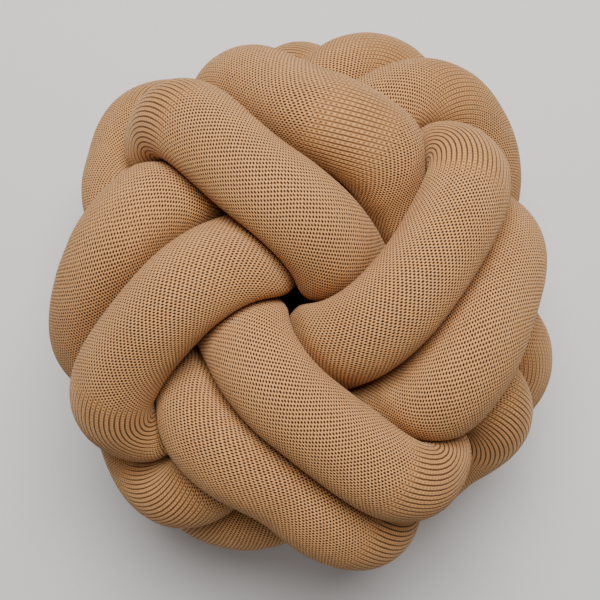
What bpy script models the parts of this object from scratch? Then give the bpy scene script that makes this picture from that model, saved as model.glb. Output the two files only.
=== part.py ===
"""A knot cushion: a ball woven from four stuffed, finely knitted tubes.

Metres, +Z up. The ball rests on the small flat spot under it, at z = 0, with its middle on the Z axis.
Each tube is closed and winds twice round the ball, so that it shows as two lanes side by side. The four
bands lie along the four hexagons of a cuboctahedron and pass over and under each other in turn.
"""

import math
from collections import namedtuple

import bpy
import numpy as np

TUBES = 4
TURNS = 2

# Sizes of the ball and of its tubes: the middle lines run WEAVE_DEPTH above and below WEAVE_RADIUS.
WEAVE_RADIUS = 0.1002
WEAVE_DEPTH = 0.0227
LANE_SPACING = 0.0442
TUBE_RADIUS = 0.0237
LEAST_SWELL = 0.50
MOST_SWELL = 1.30
BOW_ANGLE = math.radians(4.0)
DIVE_STEEPNESS = 1.2
PATTERN_TURN = math.radians(8.0)
HEIGHT_SHARE = 0.965
FLAT_SPOT_DEPTH = 0.0065

# The two turns of a tube change lanes where they pass under a crossing, the second by a dip into the core.
SWAP_ANGLE = math.radians(90.0)
SWAP_HALF_WIDTH = math.radians(38.0)
DIP_HALF_WIDTH = math.radians(46.0)
CORE_DIP = 0.0440
CORE_RADIUS = 0.030
PUSHED_RADIUS = 0.075

# How sharp the creases between pressed tubes are, and the gap left between two tubes. A tube isn't held off
# by its own points nearer than NEAREST_OTHER, nor pressed by its own stretch within OWN_REACH rings.
CREASE_ROUNDING = 8.0
TUBE_GAP = 0.0010
NEAREST_OTHER = 0.5 * TUBE_RADIUS
OWN_REACH = 3

# How finely each tube is cut into rings, and its middle line into points.
RINGS = 120
SIDES = 12
POINTS_PER_RING = 3
LINE_SAMPLES = 1440
SWELL_STEPS = 24
CLEARING_PASSES = 12
TINY = 1e-9

# Where the stuffing and the ball's weight push the weave: a place on the ball in degrees, the width of the
# push in degrees, and how far it moves outward, to the east and to the north of that place, in metres.
Push = namedtuple("Push", "azimuth elevation width rise east north")
PUSHES = (
    Push(azimuth=130, elevation=33, width=30, rise=0.022, east=0.000, north=0.000),
    Push(azimuth=43, elevation=36, width=30, rise=0.021, east=0.000, north=0.000),
    Push(azimuth=-44, elevation=35, width=27, rise=0.024, east=0.000, north=0.000),
    Push(azimuth=208, elevation=33, width=30, rise=0.020, east=-0.004, north=-0.011),
    Push(azimuth=50, elevation=50, width=22, rise=0.002, east=0.008, north=0.000),
    Push(azimuth=92, elevation=56, width=24, rise=0.000, east=0.006, north=0.011),
    Push(azimuth=52, elevation=14, width=22, rise=0.009, east=0.000, north=0.000),
    Push(azimuth=83, elevation=-10, width=20, rise=0.022, east=0.000, north=0.000),
    Push(azimuth=-29, elevation=0, width=20, rise=0.000, east=0.014, north=0.000),
    Push(azimuth=-54, elevation=3, width=16, rise=-0.009, east=0.000, north=0.000),
    Push(azimuth=-79, elevation=6, width=20, rise=0.038, east=0.000, north=0.000),
    Push(azimuth=225, elevation=-5, width=18, rise=-0.008, east=0.000, north=0.000),
    Push(azimuth=182, elevation=10, width=24, rise=-0.021, east=0.000, north=-0.008),
    Push(azimuth=138, elevation=40, width=20, rise=0.004, east=0.000, north=-0.005),
    Push(azimuth=152, elevation=8, width=16, rise=-0.012, east=0.000, north=0.000),
    Push(azimuth=137, elevation=62, width=20, rise=0.000, east=0.004, north=0.000),
    Push(azimuth=95, elevation=-12, width=18, rise=0.024, east=0.014, north=0.000),
    Push(azimuth=240, elevation=-8, width=15, rise=0.011, east=0.000, north=0.000),
    Push(azimuth=232, elevation=28, width=16, rise=0.010, east=0.006, north=0.000),
    Push(azimuth=190, elevation=2, width=16, rise=-0.006, east=0.000, north=0.000),
    Push(azimuth=30, elevation=5, width=14, rise=0.006, east=0.000, north=0.000),
    Push(azimuth=50, elevation=40, width=16, rise=0.002, east=0.005, north=-0.004),
    Push(azimuth=-41, elevation=42, width=16, rise=0.004, east=0.000, north=-0.005),
    Push(azimuth=10, elevation=15, width=14, rise=-0.004, east=0.000, north=0.000),
    Push(azimuth=132, elevation=0, width=14, rise=0.009, east=0.000, north=0.000),
    Push(azimuth=-25, elevation=-8, width=12, rise=0.004, east=0.000, north=0.000),
    Push(azimuth=-12, elevation=-12, width=10, rise=-0.005, east=0.000, north=0.000),
    Push(azimuth=210, elevation=6, width=11, rise=0.006, east=0.000, north=0.000),
    Push(azimuth=-24, elevation=-35, width=28, rise=0.013, east=0.000, north=0.000),
    Push(azimuth=63, elevation=-35, width=28, rise=0.013, east=0.000, north=0.000),
    Push(azimuth=152, elevation=-35, width=28, rise=0.013, east=0.000, north=0.000),
    Push(azimuth=258, elevation=-35, width=28, rise=0.001, east=0.000, north=0.000),
    Push(azimuth=186, elevation=-8, width=10, rise=-0.004, east=0.000, north=0.000),
)

KNIT_COLOUR = (0.44, 0.25, 0.125, 1.0)
KNIT_ROUGHNESS = 0.9


def clear_scene():
    for item in list(bpy.data.objects):
        bpy.data.objects.remove(item, do_unlink=True)


def unit(vectors):
    return vectors / np.linalg.norm(vectors, axis=-1, keepdims=True)


def turned(vector, angle):
    """The vector after a turn about Z."""
    c, s = math.cos(angle), math.sin(angle)
    return np.array([c * vector[0] - s * vector[1], s * vector[0] + c * vector[1], vector[2]])


def smooth_step(x):
    x = np.clip(x, 0.0, 1.0)
    return x * x * x * (x * (6.0 * x - 15.0) + 10.0)


def lane_of(turn):
    """-1 to +1: the lane changes at SWAP_ANGLE, and changes back there one turn later."""
    swing = np.sin((turn - SWAP_ANGLE) / TURNS) / math.sin(SWAP_HALF_WIDTH / TURNS)
    swing = np.clip(swing, -1.0, 1.0)
    return swing * (15.0 - 10.0 * swing ** 2 + 3.0 * swing ** 4) / 8.0


def evenly_spaced(points, count):
    """The same closed line with its points at equal steps along it."""
    closed = np.concatenate([points, points[:1]])
    steps = np.linalg.norm(np.diff(closed, axis=0), axis=1)
    along = np.concatenate([[0.0], np.cumsum(steps)])
    wanted = np.arange(count) * along[-1] / count
    return np.stack([np.interp(wanted, along, closed[:, axis]) for axis in range(3)], axis=1)


def centre_line(tube):
    """Points along the middle of one tube, once round both of its turns."""
    turn = np.linspace(0.0, 2.0 * math.pi * TURNS, LINE_SAMPLES, endpoint=False)
    quarter = tube * math.pi / 2.0 + PATTERN_TURN
    start = turned(np.array([1.0, -1.0, 2.0]) / math.sqrt(6.0), quarter)
    ahead = turned(np.array([1.0, 1.0, 0.0]) / math.sqrt(2.0), quarter)
    across = turned(np.array([-1.0, 1.0, 1.0]) / math.sqrt(3.0), quarter)
    along = np.outer(np.cos(turn), start) + np.outer(np.sin(turn), ahead)
    bow = BOW_ANGLE * np.cos(3.0 * turn)[:, None]
    outward = np.cos(bow) * along + np.sin(bow) * across
    sideways = np.cos(bow) * across - np.sin(bow) * along
    over_and_under = np.tanh(DIVE_STEEPNESS * np.sin(3.0 * turn)) / math.tanh(DIVE_STEEPNESS)
    radius = WEAVE_RADIUS + WEAVE_DEPTH * over_and_under
    lane = lane_of(turn) * LANE_SPACING / 2.0
    from_swap = np.clip((turn - SWAP_ANGLE - 2.0 * math.pi) / DIP_HALF_WIDTH, -1.0, 1.0)
    dip = CORE_DIP * np.cos(from_swap * math.pi / 2.0) ** 2
    return radius[:, None] * outward + lane[:, None] * sideways - np.outer(dip, ahead)


def compass(azimuth, elevation):
    """The outward, east and north directions at a place on the ball."""
    a, e = math.radians(azimuth), math.radians(elevation)
    outward = np.array([math.cos(e) * math.cos(a), math.cos(e) * math.sin(a), math.sin(e)])
    east = np.array([-math.sin(a), math.cos(a), 0.0])
    return outward, east, np.cross(outward, east)


def shaped(points):
    """The weave after the stuffing's pushes and its own weight."""
    result = points.copy()
    outward = unit(points)
    from_middle = np.linalg.norm(points, axis=1)
    free = smooth_step((from_middle - CORE_RADIUS) / (PUSHED_RADIUS - CORE_RADIUS))
    for push in PUSHES:
        middle, east, north = compass(push.azimuth, push.elevation)
        apart = np.arccos(np.clip(outward @ middle, -1.0, 1.0))
        share = (free * np.exp(-((apart / math.radians(push.width)) ** 2)))[:, None]
        result += share * (push.rise * outward + push.east * east + push.north * north)
    result[:, 2] *= HEIGHT_SHARE
    return result


def soft_least(free, limits):
    """The smaller of the two, with a soft corner where they meet."""
    return (free ** -CREASE_ROUNDING + limits ** -CREASE_ROUNDING) ** (-1.0 / CREASE_ROUNDING)


def section_directions(line):
    """For each ring, the directions from its middle to its points, the first one pointing outward."""
    ahead = unit(np.roll(line, -1, axis=0) - np.roll(line, 1, axis=0))[::POINTS_PER_RING]
    rings = line[::POINTS_PER_RING]
    outward = unit(rings - ahead * np.sum(rings * ahead, axis=1, keepdims=True))
    aside = np.cross(ahead, outward)
    angles = np.linspace(0.0, 2.0 * math.pi, SIDES, endpoint=False)[None, :, None]
    return np.cos(angles) * outward[:, None, :] + np.sin(angles) * aside[:, None, :]


def half_way_limits(rings, directions, every_point):
    """How far each section may reach before it is half way to the middle of any other stretch."""
    limits = np.empty(directions.shape[:2])
    for ring, middle in enumerate(rings):
        to_others = every_point - middle
        squares = np.sum(to_others ** 2, axis=1)
        others = squares > NEAREST_OTHER ** 2
        reach = np.maximum(directions[ring] @ to_others[others].T, TINY)
        limits[ring] = (squares[others] / (2.0 * reach)).min(axis=1) - TUBE_GAP / 2.0
    return limits


def pressed_radii(directions, limits):
    """The sections' radii. The girth stays the same, so a tube pressed on some sides swells on the others."""
    girth = 2.0 * SIDES * math.sin(math.pi / SIDES) * TUBE_RADIUS
    low = np.full((len(limits), 1), LEAST_SWELL * TUBE_RADIUS)
    high = np.full((len(limits), 1), MOST_SWELL * TUBE_RADIUS)
    for _ in range(SWELL_STEPS):
        free = (low + high) / 2.0
        corners = soft_least(free, limits)[:, :, None] * directions
        edges = np.linalg.norm(np.roll(corners, -1, axis=1) - corners, axis=2)
        slack = edges.sum(axis=1, keepdims=True) < girth
        low = np.where(slack, free, low)
        high = np.where(slack, high, free)
    return soft_least(free, limits)


def past_half_way(surface, lines, tube):
    """How far the middles of each face, and of its edge along the tube, are past half way to a neighbour."""
    after = np.roll(surface, -1, axis=0)
    edges = (surface + after) / 2.0
    faces = (edges + np.roll(edges, -1, axis=1)) / 2.0
    own = lines[tube]
    rest = np.concatenate([line for number, line in enumerate(lines) if number != tube])
    steps = np.arange(len(own))
    past = np.empty(surface.shape[:2])
    for ring in range(RINGS):
        points = np.concatenate([edges[ring], faces[ring]])[:, None, :]
        from_ring = (steps - (ring + 0.5) * POINTS_PER_RING) % len(own)
        near = np.minimum(from_ring, len(own) - from_ring) <= OWN_REACH * POINTS_PER_RING
        to_own = np.linalg.norm(points - own[near], axis=2).min(axis=1)
        to_other = np.linalg.norm(points - np.concatenate([rest, own[~near]]), axis=2).min(axis=1)
        past[ring] = (to_own - to_other + TUBE_GAP).reshape(2, -1).max(axis=0)
    return np.maximum(past, 0.0)


def tube_surface(lines, tube):
    """The tube's rings of points, drawn in wherever a flat face between them would reach past half way."""
    rings = lines[tube][::POINTS_PER_RING]
    directions = section_directions(lines[tube])
    limits = half_way_limits(rings, directions, np.concatenate(lines))
    radii = pressed_radii(directions, limits)
    for _ in range(CLEARING_PASSES):
        surface = rings[:, None, :] + radii[:, :, None] * directions
        past = past_half_way(surface, lines, tube)
        past = np.maximum(past, np.roll(past, 1, axis=1))
        past = np.maximum(past, np.roll(past, 1, axis=0))
        radii = radii - past / 2.0
    return rings[:, None, :] + radii[:, :, None] * directions


def set_down(surfaces):
    """The tubes over the origin, with what would reach below z = 0 pressed flat against it."""
    everything = np.concatenate([surface.reshape(-1, 3) for surface in surfaces])
    low, high = everything.min(axis=0), everything.max(axis=0)
    shift = np.array([(low[0] + high[0]) / 2.0, (low[1] + high[1]) / 2.0, low[2] + FLAT_SPOT_DEPTH])
    placed = [surface - shift for surface in surfaces]
    for surface in placed:
        surface[:, :, 2] = np.maximum(surface[:, :, 2], 0.0)
    return placed


def knit_material(name):
    material = bpy.data.materials.new(name)
    material.use_nodes = True
    surface = material.node_tree.nodes["Principled BSDF"]
    surface.inputs["Base Color"].default_value = KNIT_COLOUR
    surface.inputs["Roughness"].default_value = KNIT_ROUGHNESS
    surface.inputs["Metallic"].default_value = 0.0
    return material


def build_tube(name, surface):
    """One closed solid from the rings of a tube."""
    count, sides = surface.shape[:2]
    faces = []
    for ring in range(count):
        after = (ring + 1) % count
        for side in range(sides):
            beside = (side + 1) % sides
            faces.append((
                ring * sides + side,
                ring * sides + beside,
                after * sides + beside,
                after * sides + side,
            ))
    mesh = bpy.data.meshes.new(name)
    mesh.from_pydata(surface.reshape(-1, 3).tolist(), [], faces)
    mesh.update()
    mesh.shade_smooth()
    mesh.materials.append(knit_material(name))
    tube = bpy.data.objects.new(name, mesh)
    bpy.context.scene.collection.objects.link(tube)
    return tube


def main():
    clear_scene()
    lines = [evenly_spaced(shaped(centre_line(tube)), RINGS * POINTS_PER_RING) for tube in range(TUBES)]
    surfaces = [tube_surface(lines, tube) for tube in range(TUBES)]
    for number, surface in enumerate(set_down(surfaces), start=1):
        build_tube(f"tube_{number}", surface)


main()
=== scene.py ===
"""Knot cushion: the look of a ball woven from four stuffed, finely knitted tubes.

Laid out as an add-on: sizes and colours are properties, each group of pieces has its operator, and a panel
lists them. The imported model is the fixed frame, in metres and +Z up. Each tube takes its CAD solid's place
and follows the same weave more finely, with the knit on its own UV map.
"""

import math
from collections import namedtuple

import bpy
import numpy as np
from bpy.props import FloatProperty, FloatVectorProperty, IntProperty, PointerProperty
from bpy.types import Operator, Panel, PropertyGroup
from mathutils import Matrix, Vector


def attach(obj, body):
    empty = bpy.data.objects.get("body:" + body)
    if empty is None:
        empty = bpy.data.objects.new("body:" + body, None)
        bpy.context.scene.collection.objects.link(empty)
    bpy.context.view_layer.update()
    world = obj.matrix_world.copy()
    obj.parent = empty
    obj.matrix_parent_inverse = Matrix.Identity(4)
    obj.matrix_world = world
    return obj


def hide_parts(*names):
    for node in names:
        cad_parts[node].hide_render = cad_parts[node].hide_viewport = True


bl_info = {
    "name": "Knot cushion",
    "version": (1, 0, 0),
    "blender": (4, 5, 0),
    "location": "3D View > Sidebar > Cushion",
    "description": "Weaves the stuffed knit tubes of a knot cushion over its CAD frame",
    "category": "Add Mesh",
}

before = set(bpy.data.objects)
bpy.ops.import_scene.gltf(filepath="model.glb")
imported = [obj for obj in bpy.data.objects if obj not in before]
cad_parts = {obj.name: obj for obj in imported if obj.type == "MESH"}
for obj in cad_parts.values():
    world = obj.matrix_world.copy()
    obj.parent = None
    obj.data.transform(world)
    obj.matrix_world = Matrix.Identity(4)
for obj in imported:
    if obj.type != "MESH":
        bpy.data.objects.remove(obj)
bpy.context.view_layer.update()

TUBES = 4
TURNS = 2

# Where the stuffing and the ball's weight push the weave: a place on the ball in degrees, the width of the
# push in degrees, and how far it moves outward, to the east and to the north of that place, in metres.
Push = namedtuple("Push", "azimuth elevation width rise east north")
PUSHES = (
    Push(azimuth=130, elevation=33, width=30, rise=0.022, east=0.000, north=0.000),
    Push(azimuth=43, elevation=36, width=30, rise=0.021, east=0.000, north=0.000),
    Push(azimuth=-44, elevation=35, width=27, rise=0.024, east=0.000, north=0.000),
    Push(azimuth=208, elevation=33, width=30, rise=0.020, east=-0.004, north=-0.011),
    Push(azimuth=50, elevation=50, width=22, rise=0.002, east=0.008, north=0.000),
    Push(azimuth=92, elevation=56, width=24, rise=0.000, east=0.006, north=0.011),
    Push(azimuth=52, elevation=14, width=22, rise=0.009, east=0.000, north=0.000),
    Push(azimuth=83, elevation=-10, width=20, rise=0.022, east=0.000, north=0.000),
    Push(azimuth=-29, elevation=0, width=20, rise=0.000, east=0.014, north=0.000),
    Push(azimuth=-54, elevation=3, width=16, rise=-0.009, east=0.000, north=0.000),
    Push(azimuth=-79, elevation=6, width=20, rise=0.038, east=0.000, north=0.000),
    Push(azimuth=225, elevation=-5, width=18, rise=-0.008, east=0.000, north=0.000),
    Push(azimuth=182, elevation=10, width=24, rise=-0.021, east=0.000, north=-0.008),
    Push(azimuth=138, elevation=40, width=20, rise=0.004, east=0.000, north=-0.005),
    Push(azimuth=152, elevation=8, width=16, rise=-0.012, east=0.000, north=0.000),
    Push(azimuth=137, elevation=62, width=20, rise=0.000, east=0.004, north=0.000),
    Push(azimuth=95, elevation=-12, width=18, rise=0.024, east=0.014, north=0.000),
    Push(azimuth=240, elevation=-8, width=15, rise=0.011, east=0.000, north=0.000),
    Push(azimuth=232, elevation=28, width=16, rise=0.010, east=0.006, north=0.000),
    Push(azimuth=190, elevation=2, width=16, rise=-0.006, east=0.000, north=0.000),
    Push(azimuth=30, elevation=5, width=14, rise=0.006, east=0.000, north=0.000),
    Push(azimuth=50, elevation=40, width=16, rise=0.002, east=0.005, north=-0.004),
    Push(azimuth=-41, elevation=42, width=16, rise=0.004, east=0.000, north=-0.005),
    Push(azimuth=10, elevation=15, width=14, rise=-0.004, east=0.000, north=0.000),
    Push(azimuth=132, elevation=0, width=14, rise=0.009, east=0.000, north=0.000),
    Push(azimuth=-25, elevation=-8, width=12, rise=0.004, east=0.000, north=0.000),
    Push(azimuth=-12, elevation=-12, width=10, rise=-0.005, east=0.000, north=0.000),
    Push(azimuth=210, elevation=6, width=11, rise=0.006, east=0.000, north=0.000),
    Push(azimuth=-24, elevation=-35, width=28, rise=0.013, east=0.000, north=0.000),
    Push(azimuth=63, elevation=-35, width=28, rise=0.013, east=0.000, north=0.000),
    Push(azimuth=152, elevation=-35, width=28, rise=0.013, east=0.000, north=0.000),
    Push(azimuth=258, elevation=-35, width=28, rise=0.001, east=0.000, north=0.000),
    Push(azimuth=186, elevation=-8, width=10, rise=-0.004, east=0.000, north=0.000),
)

# Each turn rises over its neighbours and dives under them CROSSINGS times, and bows a little to both sides.
# The whole weave is turned about Z by PATTERN_TURN and settled to HEIGHT_SHARE of its height.
CROSSINGS = 3
BOW_ANGLE = math.radians(4.0)
DIVE_STEEPNESS = 1.2
PATTERN_TURN = math.radians(8.0)
HEIGHT_SHARE = 0.965

# The two turns of a tube change lanes under a crossing, the second by a dip into the core. Inside
# CORE_RADIUS nothing pushes the weave, and outside PUSHED_RADIUS the pushes act in full.
SWAP_ANGLE = math.radians(90.0)
SWAP_HALF_WIDTH = math.radians(38.0)
DIP_HALF_WIDTH = math.radians(46.0)
CORE_DIP = 0.0440
CORE_RADIUS = 0.030
PUSHED_RADIUS = 0.075

# How sharp the creases between pressed tubes are, and how far a section may shrink or swell, as shares of
# the tube's radius. A section isn't held off by points nearer than NEAREST_OTHER of that radius, nor by its
# own stretch within OWN_REACH metres.
CREASE_ROUNDING = 8.0
LEAST_SWELL = 0.50
MOST_SWELL = 1.30
NEAREST_OTHER = 0.5
OWN_REACH = 0.027

# How finely the middle lines and the sections are worked out.
POINTS_PER_RING = 2
LINE_SAMPLES = 2880
SWELL_STEPS = 24
CLEARING_PASSES = 3
TINY = 1e-9

# The stitches keep their length on the OUTER_SHARE of a tube's skin that faces out of the ball. The wales'
# slow twist swings to and fro TWISTS times along the tube. A bend shows ribs where the knit's lengths round
# a ring differ by more than BEND_STARTS of their mean, and shows them fully from BEND_FULL on. That share is
# evened out over the neighbouring rings BEND_SMOOTHING times.
OUTER_SHARE = 0.3
TWISTS = 5
BEND_STARTS = 0.70
BEND_FULL = 1.25
BEND_SMOOTHING = 8

# The knit's unevenness: noises as features per metre, and how far each one shifts the stitches, as a share
# of a stitch, or how much it changes the pores' depth, as a share of it.
WANDER_SCALE = 55.0
WANDER = 0.50
JITTER_SCALE = 420.0
JITTER = 0.30
PORE_NOISE_SCALE = 650.0
PORE_NOISE = 0.60

# The pores between the stitches, bumped and painted dark with the shade deep in them: how pointed their ends
# are, where their sides lie on the wave from wale to wale, and how deep they are on a straight tube and on a
# sharp bend, where they close up.
PORE_POINT = 1.05
PORE_SIDE = 0.52
PORE_MIDDLE = 0.98
STRAIGHT_PORES = 1.30
BENT_PORES = 0.40

# The grooves between the ribs on a bend, and the faint line between two wales everywhere else, both bumped
# and painted dark with the shade in them.
GROOVE_NARROWNESS = 2.2
GROOVE_ONSET = 0.6
GROOVE_DEPTH = 0.95
WALE_LINE_NARROWNESS = 4.0
WALE_LINE_DEPTH = 0.22

# The yarn's light and dark places: patches and fuzz as features per metre, streaks as features per wale and
# drawn out along it, which are the yarn's own uneven tone, and a painted highlight on the stitches' crowns.
# The tone of patches and streaks, and the fuzz, turn from dark to light between SOFT_LOW and SOFT_HIGH.
PATCH_SCALE = 26.0
STREAK_SCALE = 0.9
STREAK_STRETCH = 0.06
CROWN_FOOT = 0.80
CROWN_HIGHLIGHT = 0.55
TONE_LIGHT = 0.25
FUZZ_SCALE = 2600.0
FUZZ_LIGHT = 0.25
SOFT_LOW = 0.35
SOFT_HIGH = 0.65

# The knit's finish. The fuzz's height is a share of the pores' depth.
FUZZ_HEIGHT = 0.25
BUMP_STRENGTH = 0.9
KNIT_ROUGHNESS = 0.88
FUZZ_ROUGHNESS = 0.16
KNIT_SPECULAR = 0.25
SHEEN_WEIGHT = 0.45
SHEEN_ROUGHNESS = 0.35
SHEEN_TINT = (0.95, 0.64, 0.38, 1.0)

# The skin over the stuffing: its level of smoothing, the level in the lumps' noise that stays where it is,
# and how far over the floor the lumps are full.
SMOOTHING = 1
LUMP_LEVEL = 0.62
LUMPS_FULL_HEIGHT = 0.02

# The stage, in metres. The floor lies just under the ball, and the camera looks nearly straight down.
FLOOR_HALF_WIDTH = 3.0
FLOOR_HEIGHT = -0.0005
FLOOR_ROUGHNESS = 0.95
FLOOR_SPECULAR = 0.1
KEY_PLACE = (0.06, 0.50, 1.40)
KEY_AIM = (0.0, 0.0, 0.13)
KEY_SIZE = 0.8
KEY_COLOUR = (1.0, 0.98, 0.95)
SKY_COLOUR = (1.0, 1.0, 1.0, 1.0)
CAMERA_AIM = (-0.0050, -0.0078, 0.136)
CAMERA_TILT_X = math.radians(1.4)
CAMERA_TILT_Y = math.radians(-1.4)
SENSOR_WIDTH = 36.0
CLIP_START = 0.01


class CushionWeave(PropertyGroup):
    """The sizes of the ball and of its tubes."""

    weave_radius: FloatProperty(
        name="Weave Radius", description="Middle height of the tubes' middle lines over the ball's centre",
        default=0.1002, min=0.05, max=0.3, precision=4, unit="LENGTH",
    )
    weave_depth: FloatProperty(
        name="Weave Depth", description="How far a band rises over and dives under its neighbours",
        default=0.0227, min=0.0, max=0.06, precision=4, unit="LENGTH",
    )
    lane_spacing: FloatProperty(
        name="Lane Spacing", description="Distance between a tube's two turns where they run side by side",
        default=0.0442, min=0.01, max=0.1, precision=4, unit="LENGTH",
    )
    tube_radius: FloatProperty(
        name="Tube Radius", description="Radius of a tube where nothing presses it",
        default=0.0237, min=0.005, max=0.05, precision=4, unit="LENGTH",
    )
    flat_spot_depth: FloatProperty(
        name="Flat Spot", description="How much of the ball's foot its weight presses flat",
        default=0.0065, min=0.0, max=0.02, precision=4, unit="LENGTH",
    )
    gap: FloatProperty(
        name="Gap", description="Space left between two tubes that press each other",
        default=0.0004, min=0.0, max=0.005, precision=4, unit="LENGTH",
    )
    rings: IntProperty(
        name="Rings", description="Sections along one tube", default=300, min=60, max=900,
    )
    sides: IntProperty(
        name="Sides", description="Points round one section", default=40, min=8, max=96,
    )


class CushionKnit(PropertyGroup):
    """The knit's stitches, its colours and the lumps of the stuffing under it."""

    wales: IntProperty(
        name="Wales", description="Columns of stitches round a tube, an even number",
        default=106, min=20, max=400,
    )
    twist: FloatProperty(
        name="Twist", description="How many wales the knit's slow twist swings to each side along a tube",
        default=16.0, min=0.0, max=60.0,
    )
    stitch_length: FloatProperty(
        name="Stitch Length", description="Length of one repeat of the stitches along a tube",
        default=0.00238, min=0.0005, max=0.02, precision=5, unit="LENGTH",
    )
    # Yarn and Yarn Shade are a lit and a shaded copy of one yarn colour: the mix between them is partly the
    # yarn's own uneven tone and partly painted, lit on the stitches' crowns and shaded round the pores.
    yarn: FloatVectorProperty(
        name="Yarn", description="Colour of the yarn where the light falls on it",
        subtype="COLOR", size=4, min=0.0, max=1.0, default=(0.860, 0.430, 0.165, 1.0),
    )
    yarn_shade: FloatVectorProperty(
        name="Yarn Shade", description="Colour of the darker places in the yarn",
        subtype="COLOR", size=4, min=0.0, max=1.0, default=(0.540, 0.255, 0.095, 1.0),
    )
    # The colour of the painted shade deep in the pores, the grooves and the wale lines between the stitches.
    pore_shade: FloatVectorProperty(
        name="Pore", description="Colour deep between the stitches",
        subtype="COLOR", size=4, min=0.0, max=1.0, default=(0.030, 0.011, 0.004, 1.0),
    )
    relief: FloatProperty(
        name="Relief", description="Depth of the pores between the stitches",
        default=0.0006, min=0.0, max=0.003, precision=5, unit="LENGTH",
    )
    lump_size: FloatProperty(
        name="Lump Size", description="Width of the soft lumps in the stuffing",
        default=0.030, min=0.005, max=0.2, precision=4, unit="LENGTH",
    )
    lump_height: FloatProperty(
        name="Lump Height", description="Height of the soft lumps in the stuffing",
        default=0.0011, min=0.0, max=0.005, precision=5, unit="LENGTH",
    )


class CushionStage(PropertyGroup):
    """The floor, the light and the camera."""

    floor_colour: FloatVectorProperty(
        name="Floor", description="Colour of the floor",
        subtype="COLOR", size=4, min=0.0, max=1.0, default=(0.88, 0.88, 0.88, 1.0),
    )
    sky_strength: FloatProperty(
        name="Sky", description="Strength of the even light from all round",
        default=0.18, min=0.0, max=5.0,
    )
    key_power: FloatProperty(
        name="Key Light", description="Power of the large light over the ball",
        default=26.5, min=0.0, max=500.0, unit="POWER",
    )
    camera_distance: FloatProperty(
        name="Camera Distance", description="From the middle of the ball to the camera",
        default=0.733, min=0.3, max=3.0, precision=4, unit="LENGTH",
    )
    lens: FloatProperty(
        name="Lens", description="Focal length in millimetres",
        default=73.0, min=20.0, max=300.0,
    )


def unit(vectors):
    """The vectors' directions, each of length 1."""
    return vectors / np.linalg.norm(vectors, axis=-1, keepdims=True)


def turned(vector, angle):
    """The vector after a turn about Z."""
    c, s = math.cos(angle), math.sin(angle)
    return np.array([c * vector[0] - s * vector[1], s * vector[0] + c * vector[1], vector[2]])


def smooth_step(x):
    """0 up to 1 as x goes from 0 to 1, level at both ends."""
    x = np.clip(x, 0.0, 1.0)
    return x * x * x * (x * (6.0 * x - 15.0) + 10.0)


def lane_of(turn):
    """-1 to +1, level at both: the lane changes at SWAP_ANGLE, and changes back there one turn later."""
    swing = np.sin((turn - SWAP_ANGLE) / TURNS) / math.sin(SWAP_HALF_WIDTH / TURNS)
    swing = np.clip(swing, -1.0, 1.0)
    return swing * (15.0 - 10.0 * swing ** 2 + 3.0 * swing ** 4) / 8.0


def evenly_spaced(points, count):
    """The same closed line with its points at equal steps along it."""
    closed = np.concatenate([points, points[:1]])
    steps = np.linalg.norm(np.diff(closed, axis=0), axis=1)
    along = np.concatenate([[0.0], np.cumsum(steps)])
    wanted = np.arange(count) * along[-1] / count
    return np.stack([np.interp(wanted, along, closed[:, axis]) for axis in range(3)], axis=1)


def centre_line(weave, tube):
    """Points along the middle of one tube, once round both of its turns."""
    turn = np.linspace(0.0, 2.0 * math.pi * TURNS, LINE_SAMPLES, endpoint=False)
    quarter = tube * math.pi / 2.0 + PATTERN_TURN
    start = turned(np.array([1.0, -1.0, 2.0]) / math.sqrt(6.0), quarter)
    ahead = turned(np.array([1.0, 1.0, 0.0]) / math.sqrt(2.0), quarter)
    across = turned(np.array([-1.0, 1.0, 1.0]) / math.sqrt(3.0), quarter)
    along = np.outer(np.cos(turn), start) + np.outer(np.sin(turn), ahead)
    bow = BOW_ANGLE * np.cos(CROSSINGS * turn)[:, None]
    outward = np.cos(bow) * along + np.sin(bow) * across
    sideways = np.cos(bow) * across - np.sin(bow) * along
    over_and_under = np.tanh(DIVE_STEEPNESS * np.sin(CROSSINGS * turn)) / math.tanh(DIVE_STEEPNESS)
    radius = weave.weave_radius + weave.weave_depth * over_and_under
    lane = lane_of(turn) * weave.lane_spacing / 2.0
    from_swap = np.clip((turn - SWAP_ANGLE - 2.0 * math.pi) / DIP_HALF_WIDTH, -1.0, 1.0)
    dip = CORE_DIP * np.cos(from_swap * math.pi / 2.0) ** 2
    return radius[:, None] * outward + lane[:, None] * sideways - np.outer(dip, ahead)


def compass(azimuth, elevation):
    """The outward, east and north directions at a place on the ball."""
    a, e = math.radians(azimuth), math.radians(elevation)
    outward = np.array([math.cos(e) * math.cos(a), math.cos(e) * math.sin(a), math.sin(e)])
    east = np.array([-math.sin(a), math.cos(a), 0.0])
    return outward, east, np.cross(outward, east)


def shaped(points):
    """The weave after the stuffing's pushes and its own weight."""
    result = points.copy()
    outward = unit(points)
    from_middle = np.linalg.norm(points, axis=1)
    free = smooth_step((from_middle - CORE_RADIUS) / (PUSHED_RADIUS - CORE_RADIUS))
    for push in PUSHES:
        middle, east, north = compass(push.azimuth, push.elevation)
        apart = np.arccos(np.clip(outward @ middle, -1.0, 1.0))
        share = (free * np.exp(-((apart / math.radians(push.width)) ** 2)))[:, None]
        result += share * (push.rise * outward + push.east * east + push.north * north)
    result[:, 2] *= HEIGHT_SHARE
    return result


def soft_least(free, limits):
    """The smaller of the two, with a soft corner where they meet."""
    return (free ** -CREASE_ROUNDING + limits ** -CREASE_ROUNDING) ** (-1.0 / CREASE_ROUNDING)


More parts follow.
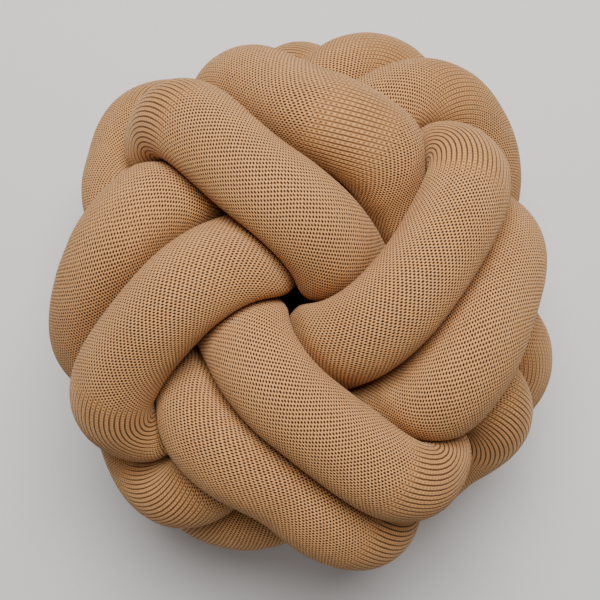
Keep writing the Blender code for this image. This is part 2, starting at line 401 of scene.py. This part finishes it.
def section_directions(line, sides):
    """For each ring, the directions from its middle to its points, the first one pointing outward."""
    ahead = unit(np.roll(line, -1, axis=0) - np.roll(line, 1, axis=0))[::POINTS_PER_RING]
    rings = line[::POINTS_PER_RING]
    outward = unit(rings - ahead * np.sum(rings * ahead, axis=1, keepdims=True))
    aside = np.cross(ahead, outward)
    angles = np.linspace(0.0, 2.0 * math.pi, sides, endpoint=False)[None, :, None]
    return np.cos(angles) * outward[:, None, :] + np.sin(angles) * aside[:, None, :]


def half_way_limits(weave, rings, directions, every_point):
    """How far each section may reach before it is half way to the middle of any other stretch."""
    limits = np.empty(directions.shape[:2])
    for ring, middle in enumerate(rings):
        to_others = every_point - middle
        squares = np.sum(to_others ** 2, axis=1)
        others = squares > (NEAREST_OTHER * weave.tube_radius) ** 2
        reach = np.maximum(directions[ring] @ to_others[others].T, TINY)
        limits[ring] = (squares[others] / (2.0 * reach)).min(axis=1) - weave.gap / 2.0
    return limits


def pressed_radii(weave, directions, limits):
    """The sections' radii. The girth is kept, so a tube pressed on some sides swells on the others."""
    girth = 2.0 * math.pi * weave.tube_radius
    low = np.full((len(limits), 1), LEAST_SWELL * weave.tube_radius)
    high = np.full((len(limits), 1), MOST_SWELL * weave.tube_radius)
    for _ in range(SWELL_STEPS):
        free = (low + high) / 2.0
        corners = soft_least(free, limits)[:, :, None] * directions
        edges = np.linalg.norm(np.roll(corners, -1, axis=1) - corners, axis=2)
        slack = edges.sum(axis=1, keepdims=True) < girth
        low = np.where(slack, free, low)
        high = np.where(slack, high, free)
    return soft_least(free, limits)


def past_half_way(weave, surface, lines, tube):
    """How far each point of the surface is past half way to another stretch."""
    own = lines[tube]
    rest = np.concatenate([line for number, line in enumerate(lines) if number != tube])
    length = np.linalg.norm(np.roll(own, -1, axis=0) - own, axis=1).sum()
    reach = OWN_REACH / length * len(own)
    steps = np.arange(len(own))
    past = np.empty(surface.shape[:2])
    for ring, points in enumerate(surface[:, :, None, :]):
        from_ring = (steps - ring * POINTS_PER_RING) % len(own)
        near = np.minimum(from_ring, len(own) - from_ring) <= reach
        to_own = np.linalg.norm(points - own[near], axis=2).min(axis=1)
        to_other = np.linalg.norm(points - np.concatenate([rest, own[~near]]), axis=2).min(axis=1)
        past[ring] = to_own - to_other + weave.gap
    return np.maximum(past, 0.0)


def tube_surface(weave, lines, tube):
    """The tube's rings of points, pressed where other stretches touch it."""
    rings = lines[tube][::POINTS_PER_RING]
    directions = section_directions(lines[tube], weave.sides)
    limits = half_way_limits(weave, rings, directions, np.concatenate(lines))
    radii = pressed_radii(weave, directions, limits)
    for _ in range(CLEARING_PASSES):
        surface = rings[:, None, :] + radii[:, :, None] * directions
        radii = radii - past_half_way(weave, surface, lines, tube) / 2.0
    return rings[:, None, :] + radii[:, :, None] * directions


def set_down(weave, surfaces):
    """The tubes over the origin, with what would reach below z = 0 pressed flat against it."""
    everything = np.concatenate([surface.reshape(-1, 3) for surface in surfaces])
    low, high = everything.min(axis=0), everything.max(axis=0)
    shift = np.array([(low[0] + high[0]) / 2.0, (low[1] + high[1]) / 2.0, low[2] + weave.flat_spot_depth])
    placed = [surface - shift for surface in surfaces]
    for surface in placed:
        surface[:, :, 2] = np.maximum(surface[:, :, 2], 0.0)
    return placed


def outer_steps(surface):
    """How far each ring is from the next one, along the side of the tube that faces out of the ball."""
    steps = np.linalg.norm(np.roll(surface, -1, axis=0) - surface, axis=2)
    reach = round(surface.shape[1] * OUTER_SHARE / 2.0)
    return np.concatenate([steps[:, :reach + 1], steps[:, -reach:]], axis=1).mean(axis=1)


def knit_coordinates(knit, surface):
    """For each ring and point: stitches along the tube and wales round it, closing on whole numbers."""
    along = np.concatenate([[0.0], np.cumsum(outer_steps(surface))])
    stitches = round(along[-1] / knit.stitch_length)
    along *= stitches / along[-1]
    edges = np.linalg.norm(np.roll(surface, -1, axis=1) - surface, axis=2)
    around = np.concatenate([np.zeros((len(surface), 1)), np.cumsum(edges, axis=1)], axis=1)
    around *= knit.wales / around[:, -1:]
    swing = 2.0 * math.pi * TWISTS * np.arange(len(surface)) / len(surface)
    around += knit.twist * np.sin(swing)[:, None]
    around = np.concatenate([around, around[:1]])
    return np.broadcast_to(along[:, None], around.shape), around


def bend_of(surface):
    """0 to 1 for each ring's points: how much the tube's bend bunches and stretches the knit there."""
    steps = np.linalg.norm(np.roll(surface, -1, axis=0) - surface, axis=2)
    change = (steps.max(axis=1) - steps.min(axis=1)) / steps.mean(axis=1)
    for _ in range(BEND_SMOOTHING):
        change = (np.roll(change, 1) + change + np.roll(change, -1)) / 3.0
    bend = smooth_step((change - BEND_STARTS) / (BEND_FULL - BEND_STARTS))
    return np.broadcast_to(bend[:, None], surface.shape[:2])


def tube_mesh(knit, name, surface):
    """One closed mesh from the rings of a tube, with the knit's UV map and the bend at each point."""
    count, sides = surface.shape[:2]
    ring, side = np.meshgrid(np.arange(count), np.arange(sides), indexing="ij")
    after, beside = (ring + 1) % count, (side + 1) % sides
    here, next_ring = ring * sides, after * sides
    faces = np.stack([here + side, here + beside, next_ring + beside, next_ring + side], axis=2)
    mesh = bpy.data.meshes.new(name)
    mesh.from_pydata(surface.reshape(-1, 3).tolist(), [], faces.reshape(-1, 4).tolist())
    along, around = knit_coordinates(knit, surface)
    corner_rings = np.stack([ring, ring, ring + 1, ring + 1], axis=2).ravel()
    corner_sides = np.stack([side, side + 1, side + 1, side], axis=2).ravel()
    uv = np.stack([along[corner_rings, corner_sides], around[corner_rings, corner_sides]], axis=1)
    layer = mesh.uv_layers.new(name="knit")
    layer.data.foreach_set("uv", uv.astype(np.float32).ravel())
    bend = mesh.attributes.new("bend", "FLOAT", "POINT")
    bend.data.foreach_set("value", bend_of(surface).astype(np.float32).ravel())
    mesh.update()
    return mesh


class NodeTree:
    """Adds nodes to a tree and links them, one short call each."""

    def __init__(self, tree):
        self.tree = tree

    def add(self, kind, inputs=None, **settings):
        """A new node with its settings, and its inputs set or linked."""
        node = self.tree.nodes.new(kind)
        for name, value in settings.items():
            setattr(node, name, value)
        for key, value in (inputs or {}).items():
            self.set(node.inputs[key], value)
        return node

    def set(self, socket, value):
        """Links the socket to another one, or gives it a plain value."""
        if isinstance(value, bpy.types.NodeSocket):
            self.tree.links.new(value, socket)
        elif value is not None:
            socket.default_value = value

    def math(self, operation, a, b=None, c=None):
        return self.add("ShaderNodeMath", {0: a, 1: b, 2: c}, operation=operation).outputs[0]

    def spread(self, value, width, middle=0.0):
        """A value of 0 to 1 as one of this width round this middle."""
        return self.math("MULTIPLY_ADD", value, width, middle - width / 2.0)

    def from_wave(self, wave, sign=1.0):
        """A wave of -1 to 1 as one of 0 to 1, turned over where the sign is -1."""
        return self.math("MULTIPLY_ADD", wave, 0.5 * sign, 0.5)

    def step(self, value, low, high):
        """0 up to 1 as the value goes from low to high, level at both ends."""
        inputs = {"Value": value, "From Min": low, "From Max": high}
        return self.add("ShaderNodeMapRange", inputs, interpolation_type="SMOOTHSTEP").outputs["Result"]

    def noise(self, vector, scale, detail=1.0, roughness=0.5):
        inputs = {"Vector": vector, "Scale": scale, "Detail": detail, "Roughness": roughness}
        return self.add("ShaderNodeTexNoise", inputs).outputs[0]

    def mix(self, share, a, b):
        """Colour a up to colour b as the share goes from 0 to 1."""
        return self.add("ShaderNodeMix", {0: share, 6: a, 7: b}, data_type="RGBA").outputs[2]


def stitch_pattern(tree, place):
    """How far into the pores or grooves each place is, how deep it is there, which sets its bump and its
    painted shade, and where it is on the knit.
    """
    on_knit = tree.add("ShaderNodeUVMap", uv_map="knit").outputs["UV"]
    parts = tree.add("ShaderNodeSeparateXYZ", {0: on_knit})
    wander = tree.spread(tree.noise(place, WANDER_SCALE), WANDER)
    jitter = tree.spread(tree.noise(place, JITTER_SCALE), JITTER)
    along = tree.math("ADD", tree.math("ADD", parts.outputs["X"], wander), jitter)
    around = tree.math("SUBTRACT", parts.outputs["Y"], jitter)
    along_wave = tree.math("COSINE", tree.math("MULTIPLY", along, 2.0 * math.pi))
    around_wave = tree.math("COSINE", tree.math("MULTIPLY", around, math.pi))

    def pores(sign):
        """One family of pores: every second wale, with the other family half a stitch along."""
        length = tree.math("POWER", tree.from_wave(along_wave, sign), PORE_POINT)
        width = tree.step(tree.from_wave(around_wave, sign), PORE_SIDE, PORE_MIDDLE)
        return tree.math("MULTIPLY", length, width)

    pore_shade = tree.math("ADD", pores(1.0), pores(-1.0))
    bend = tree.add("ShaderNodeAttribute", attribute_name="bend").outputs["Fac"]
    opened = tree.math("MULTIPLY_ADD", bend, BENT_PORES - STRAIGHT_PORES, STRAIGHT_PORES)
    uneven = tree.spread(tree.noise(place, PORE_NOISE_SCALE), PORE_NOISE, 1.0)
    # How dark the painted shade deep in the pores is.
    deep_pore_shade = tree.math("MULTIPLY", tree.math("MULTIPLY", pore_shade, uneven), opened)
    # Grooves between the ribs on a bend, painted dark as shade.
    rib = tree.math("POWER", tree.from_wave(around_wave), GROOVE_NARROWNESS)
    onset = tree.math("MULTIPLY", tree.math("POWER", bend, GROOVE_ONSET), GROOVE_DEPTH)
    groove_shade = tree.math("MULTIPLY", rib, onset)
    # A faint line between two wales, painted dark as shade.
    line = tree.math("POWER", tree.math("ABSOLUTE", around_wave), WALE_LINE_NARROWNESS)
    wale_line_shade = tree.math("MULTIPLY", line, WALE_LINE_DEPTH)
    # How deep each place is: it sets the bump and the painted shade in the pores, grooves and wale lines.
    depth_and_shade = tree.math("MAXIMUM", tree.math("MAXIMUM", deep_pore_shade, groove_shade), wale_line_shade)
    return tree.math("MAXIMUM", pore_shade, groove_shade), tree.math("MINIMUM", depth_and_shade, 1.0), along, around


def yarn_tone_and_highlight(tree, place, hollow, fuzz, along, around):
    """0 to about 1: how light the yarn is, from its tone in patches, streaks and fuzz, and a painted
    highlight on crowns.
    """
    patches = tree.noise(place, PATCH_SCALE, detail=3.0, roughness=0.55)
    drawn_out = {0: tree.math("MULTIPLY", along, STREAK_STRETCH), 1: around}
    on_knit = tree.add("ShaderNodeCombineXYZ", drawn_out).outputs[0]
    streaks = tree.noise(on_knit, STREAK_SCALE, detail=2.0, roughness=0.6)
    tone = tree.math("ADD", tree.math("MULTIPLY", patches, 0.5), tree.math("MULTIPLY", streaks, 0.5))
    # A painted highlight on the stitches' crowns, away from the pores and grooves.
    crown_highlight = tree.step(hollow, CROWN_FOOT, 0.0)
    from_tone = tree.math("MULTIPLY", tree.step(tone, SOFT_LOW, SOFT_HIGH), TONE_LIGHT)
    light = tree.math("MULTIPLY_ADD", crown_highlight, CROWN_HIGHLIGHT, from_tone)
    return tree.math("MULTIPLY_ADD", tree.step(fuzz, SOFT_LOW, SOFT_HIGH), FUZZ_LIGHT, light)


def knit_material(knit):
    """Fine knit: staggered pores and bend ribs with painted shade, painted highlights on stitch crowns, fuzz
    and sheen.
    """
    material = bpy.data.materials.new("knit")
    material.use_nodes = True
    tree = NodeTree(material.node_tree)
    shader = material.node_tree.nodes["Principled BSDF"]
    place = tree.add("ShaderNodeTexCoord").outputs["Object"]
    fuzz = tree.noise(place, FUZZ_SCALE, detail=2.0, roughness=0.6)
    hollow, depth_and_shade, along, around = stitch_pattern(tree, place)
    light = yarn_tone_and_highlight(tree, place, hollow, fuzz, along, around)
    # The yarn's own uneven tone, with a painted highlight on the crowns and painted shade round the pores.
    yarn = tree.mix(light, tuple(knit.yarn_shade), tuple(knit.yarn))
    # Painted shade: the yarn darkens to the pore shade colour deep in the pores, grooves and wale lines.
    tree.set(shader.inputs["Base Color"], tree.mix(depth_and_shade, yarn, tuple(knit.pore_shade)))

    height = tree.math("MULTIPLY_ADD", fuzz, FUZZ_HEIGHT, tree.math("MULTIPLY", depth_and_shade, -1.0))
    bump = tree.add("ShaderNodeBump", {"Height": height, "Distance": knit.relief, "Strength": BUMP_STRENGTH})
    tree.set(shader.inputs["Normal"], bump.outputs["Normal"])
    tree.set(shader.inputs["Roughness"], tree.spread(fuzz, FUZZ_ROUGHNESS, KNIT_ROUGHNESS))
    shader.inputs["Specular IOR Level"].default_value = KNIT_SPECULAR
    shader.inputs["Sheen Weight"].default_value = SHEEN_WEIGHT
    shader.inputs["Sheen Roughness"].default_value = SHEEN_ROUGHNESS
    shader.inputs["Sheen Tint"].default_value = SHEEN_TINT
    return material


def skin_tree():
    """Smooths a tube's coarse rings and lets the stuffing's soft lumps show through the knit."""
    group = bpy.data.node_groups.new("stuffed_skin", "GeometryNodeTree")
    for name, kind in (
        ("Rings", "NodeSocketGeometry"),
        ("Smoothing", "NodeSocketInt"),
        ("Lump Size", "NodeSocketFloat"),
        ("Lump Height", "NodeSocketFloat"),
        ("Floor Height", "NodeSocketFloat"),
        ("Seed", "NodeSocketFloat"),
        ("Knit", "NodeSocketMaterial"),
    ):
        group.interface.new_socket(name, in_out="INPUT", socket_type=kind)
    group.interface.new_socket("Skin", in_out="OUTPUT", socket_type="NodeSocketGeometry")
    tree = NodeTree(group)
    start = tree.add("NodeGroupInput").outputs
    rings = {"Mesh": start["Rings"], "Level": start["Smoothing"]}
    smooth = tree.add("GeometryNodeSubdivisionSurface", rings).outputs[0]
    place = tree.add("GeometryNodeInputPosition").outputs[0]
    normal = tree.add("GeometryNodeInputNormal").outputs["Normal"]
    per_metre = tree.math("DIVIDE", 1.0, start["Lump Size"])
    pattern = {"Vector": place, "W": start["Seed"], "Scale": per_metre, "Detail": 1.0}
    lumps = tree.add("ShaderNodeTexNoise", pattern, noise_dimensions="4D").outputs[0]
    rise = tree.math("MULTIPLY", tree.math("SUBTRACT", lumps, LUMP_LEVEL), start["Lump Height"])
    height = tree.add("ShaderNodeSeparateXYZ", {0: place}).outputs["Z"]
    free = tree.step(height, start["Floor Height"], LUMPS_FULL_HEIGHT)
    offset = tree.add("ShaderNodeVectorMath", {0: normal}, operation="SCALE")
    tree.set(offset.inputs["Scale"], tree.math("MULTIPLY", rise, free))
    lumpy = tree.add("GeometryNodeSetPosition", {"Geometry": smooth, "Offset": offset.outputs[0]}).outputs[0]
    shaded = tree.add("GeometryNodeSetShadeSmooth", {"Geometry": lumpy}).outputs[0]
    real = tree.add("GeometryNodeRealizeInstances", {"Geometry": shaded}).outputs[0]
    knitted = tree.add("GeometryNodeSetMaterial", {"Geometry": real, "Material": start["Knit"]}).outputs[0]
    end = tree.add("NodeGroupOutput")
    tree.set(end.inputs["Skin"], knitted)
    return group


def with_skin(rings, group, values):
    """The plain mesh that the node tree makes from a tube's rings."""
    base = bpy.data.objects.new("rings", rings)
    bpy.context.scene.collection.objects.link(base)
    modifier = base.modifiers.new("skin", "NODES")
    modifier.node_group = group
    for item in group.interface.items_tree:
        if item.in_out == "INPUT" and item.name in values:
            modifier[item.identifier] = values[item.name]
    graph = bpy.context.evaluated_depsgraph_get()
    dressed = base.evaluated_get(graph)
    mesh = bpy.data.meshes.new_from_object(dressed, preserve_all_data_layers=True, depsgraph=graph)
    base.modifiers.remove(modifier)
    bpy.data.objects.remove(base, do_unlink=True)
    bpy.data.meshes.remove(rings)
    return mesh


class CUSHION_OT_tubes(Operator):
    """Weave the four stuffed tubes over their CAD solids"""

    bl_idname = "cushion.tubes"
    bl_label = "Weave Tubes"

    def execute(self, context):
        weave, knit = context.scene.cushion_weave, context.scene.cushion_knit
        count = weave.rings * POINTS_PER_RING
        lines = [evenly_spaced(shaped(centre_line(weave, tube)), count) for tube in range(TUBES)]
        surfaces = set_down(weave, [tube_surface(weave, lines, tube) for tube in range(TUBES)])
        material = knit_material(knit)
        group = skin_tree()
        for number, surface in enumerate(surfaces, start=1):
            name = f"knit_tube_{number}"
            rings = tube_mesh(knit, name + "_rings", surface)
            values = {
                "Smoothing": SMOOTHING,
                "Lump Size": knit.lump_size,
                "Lump Height": knit.lump_height,
                "Floor Height": 0.0,
                "Seed": float(number),
                "Knit": material,
            }
            mesh = with_skin(rings, group, values)
            mesh.name = name
            if not mesh.uv_layers.get("knit"):
                raise RuntimeError(f"{name} lost its UV map")
            piece = bpy.data.objects.new(name, mesh)
            context.scene.collection.objects.link(piece)
            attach(piece, "root")
            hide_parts(f"tube_{number}")
        return {"FINISHED"}


def lay_floor(scene, stage):
    """A plain matt floor under the ball."""
    half = FLOOR_HALF_WIDTH
    corners = [(x, y, FLOOR_HEIGHT) for x, y in ((-half, -half), (half, -half), (half, half), (-half, half))]
    mesh = bpy.data.meshes.new("floor")
    mesh.from_pydata(corners, [], [(0, 1, 2, 3)])
    paint = bpy.data.materials.new("floor")
    paint.use_nodes = True
    shader = paint.node_tree.nodes["Principled BSDF"]
    shader.inputs["Base Color"].default_value = stage.floor_colour
    shader.inputs["Roughness"].default_value = FLOOR_ROUGHNESS
    shader.inputs["Specular IOR Level"].default_value = FLOOR_SPECULAR
    mesh.materials.append(paint)
    floor = bpy.data.objects.new("floor", mesh)
    scene.collection.objects.link(floor)


def light_studio(scene, stage):
    """Even light from all round, and one large round light over the ball."""
    world = bpy.data.worlds.new("studio")
    world.use_nodes = True
    sky = world.node_tree.nodes["Background"]
    sky.inputs["Color"].default_value = SKY_COLOUR
    sky.inputs["Strength"].default_value = stage.sky_strength
    scene.world = world
    light = bpy.data.lights.new("key", "AREA")
    light.shape = "DISK"
    light.size = KEY_SIZE
    light.energy = stage.key_power
    light.color = KEY_COLOUR
    key = bpy.data.objects.new("key", light)
    key.location = KEY_PLACE
    key.rotation_euler = (Vector(KEY_AIM) - Vector(KEY_PLACE)).to_track_quat("-Z", "Y").to_euler()
    scene.collection.objects.link(key)


def place_camera(scene, stage):
    """The photo's view: from above, with the picture's top towards +Y."""
    aside_x, aside_y = math.sin(CAMERA_TILT_X), math.sin(CAMERA_TILT_Y)
    away = Vector((aside_x, aside_y, 1.0)).normalized()
    lens = bpy.data.cameras.new("camera")
    lens.lens = stage.lens
    lens.sensor_width = SENSOR_WIDTH
    lens.clip_start = CLIP_START
    camera = bpy.data.objects.new("camera", lens)
    camera.location = Vector(CAMERA_AIM) + away * stage.camera_distance
    camera.rotation_euler = (math.atan2(-aside_y, 1.0), math.atan2(aside_x, 1.0), 0.0)
    scene.collection.objects.link(camera)
    scene.camera = camera


class CUSHION_OT_stage(Operator):
    """Set up the pale floor, the soft light and the camera"""

    bl_idname = "cushion.stage"
    bl_label = "Set Up Stage"

    def execute(self, context):
        stage = context.scene.cushion_stage
        lay_floor(context.scene, stage)
        light_studio(context.scene, stage)
        place_camera(context.scene, stage)
        return {"FINISHED"}


class CUSHION_PT_panel(Panel):
    """Sizes, colours and pieces of the knot cushion"""

    bl_label = "Knot Cushion"
    bl_idname = "CUSHION_PT_panel"
    bl_space_type = "VIEW_3D"
    bl_region_type = "UI"
    bl_category = "Cushion"

    def draw(self, context):
        layout = self.layout
        for title, group, operator in (
            ("Weave", context.scene.cushion_weave, None),
            ("Knit", context.scene.cushion_knit, CUSHION_OT_tubes.bl_idname),
            ("Stage", context.scene.cushion_stage, CUSHION_OT_stage.bl_idname),
        ):
            box = layout.box()
            box.label(text=title)
            for name in group.__annotations__:
                box.prop(group, name)
            if operator:
                box.operator(operator)


CLASSES = (
    CushionWeave,
    CushionKnit,
    CushionStage,
    CUSHION_OT_tubes,
    CUSHION_OT_stage,
    CUSHION_PT_panel,
)


def register():
    for item in CLASSES:
        bpy.utils.register_class(item)
    bpy.types.Scene.cushion_weave = PointerProperty(type=CushionWeave)
    bpy.types.Scene.cushion_knit = PointerProperty(type=CushionKnit)
    bpy.types.Scene.cushion_stage = PointerProperty(type=CushionStage)


def unregister():
    del bpy.types.Scene.cushion_stage
    del bpy.types.Scene.cushion_knit
    del bpy.types.Scene.cushion_weave
    for item in reversed(CLASSES):
        bpy.utils.unregister_class(item)


def main():
    """Makes every piece."""
    register()
    bpy.ops.cushion.tubes()
    bpy.ops.cushion.stage()


if __name__ == "__main__":
    main()
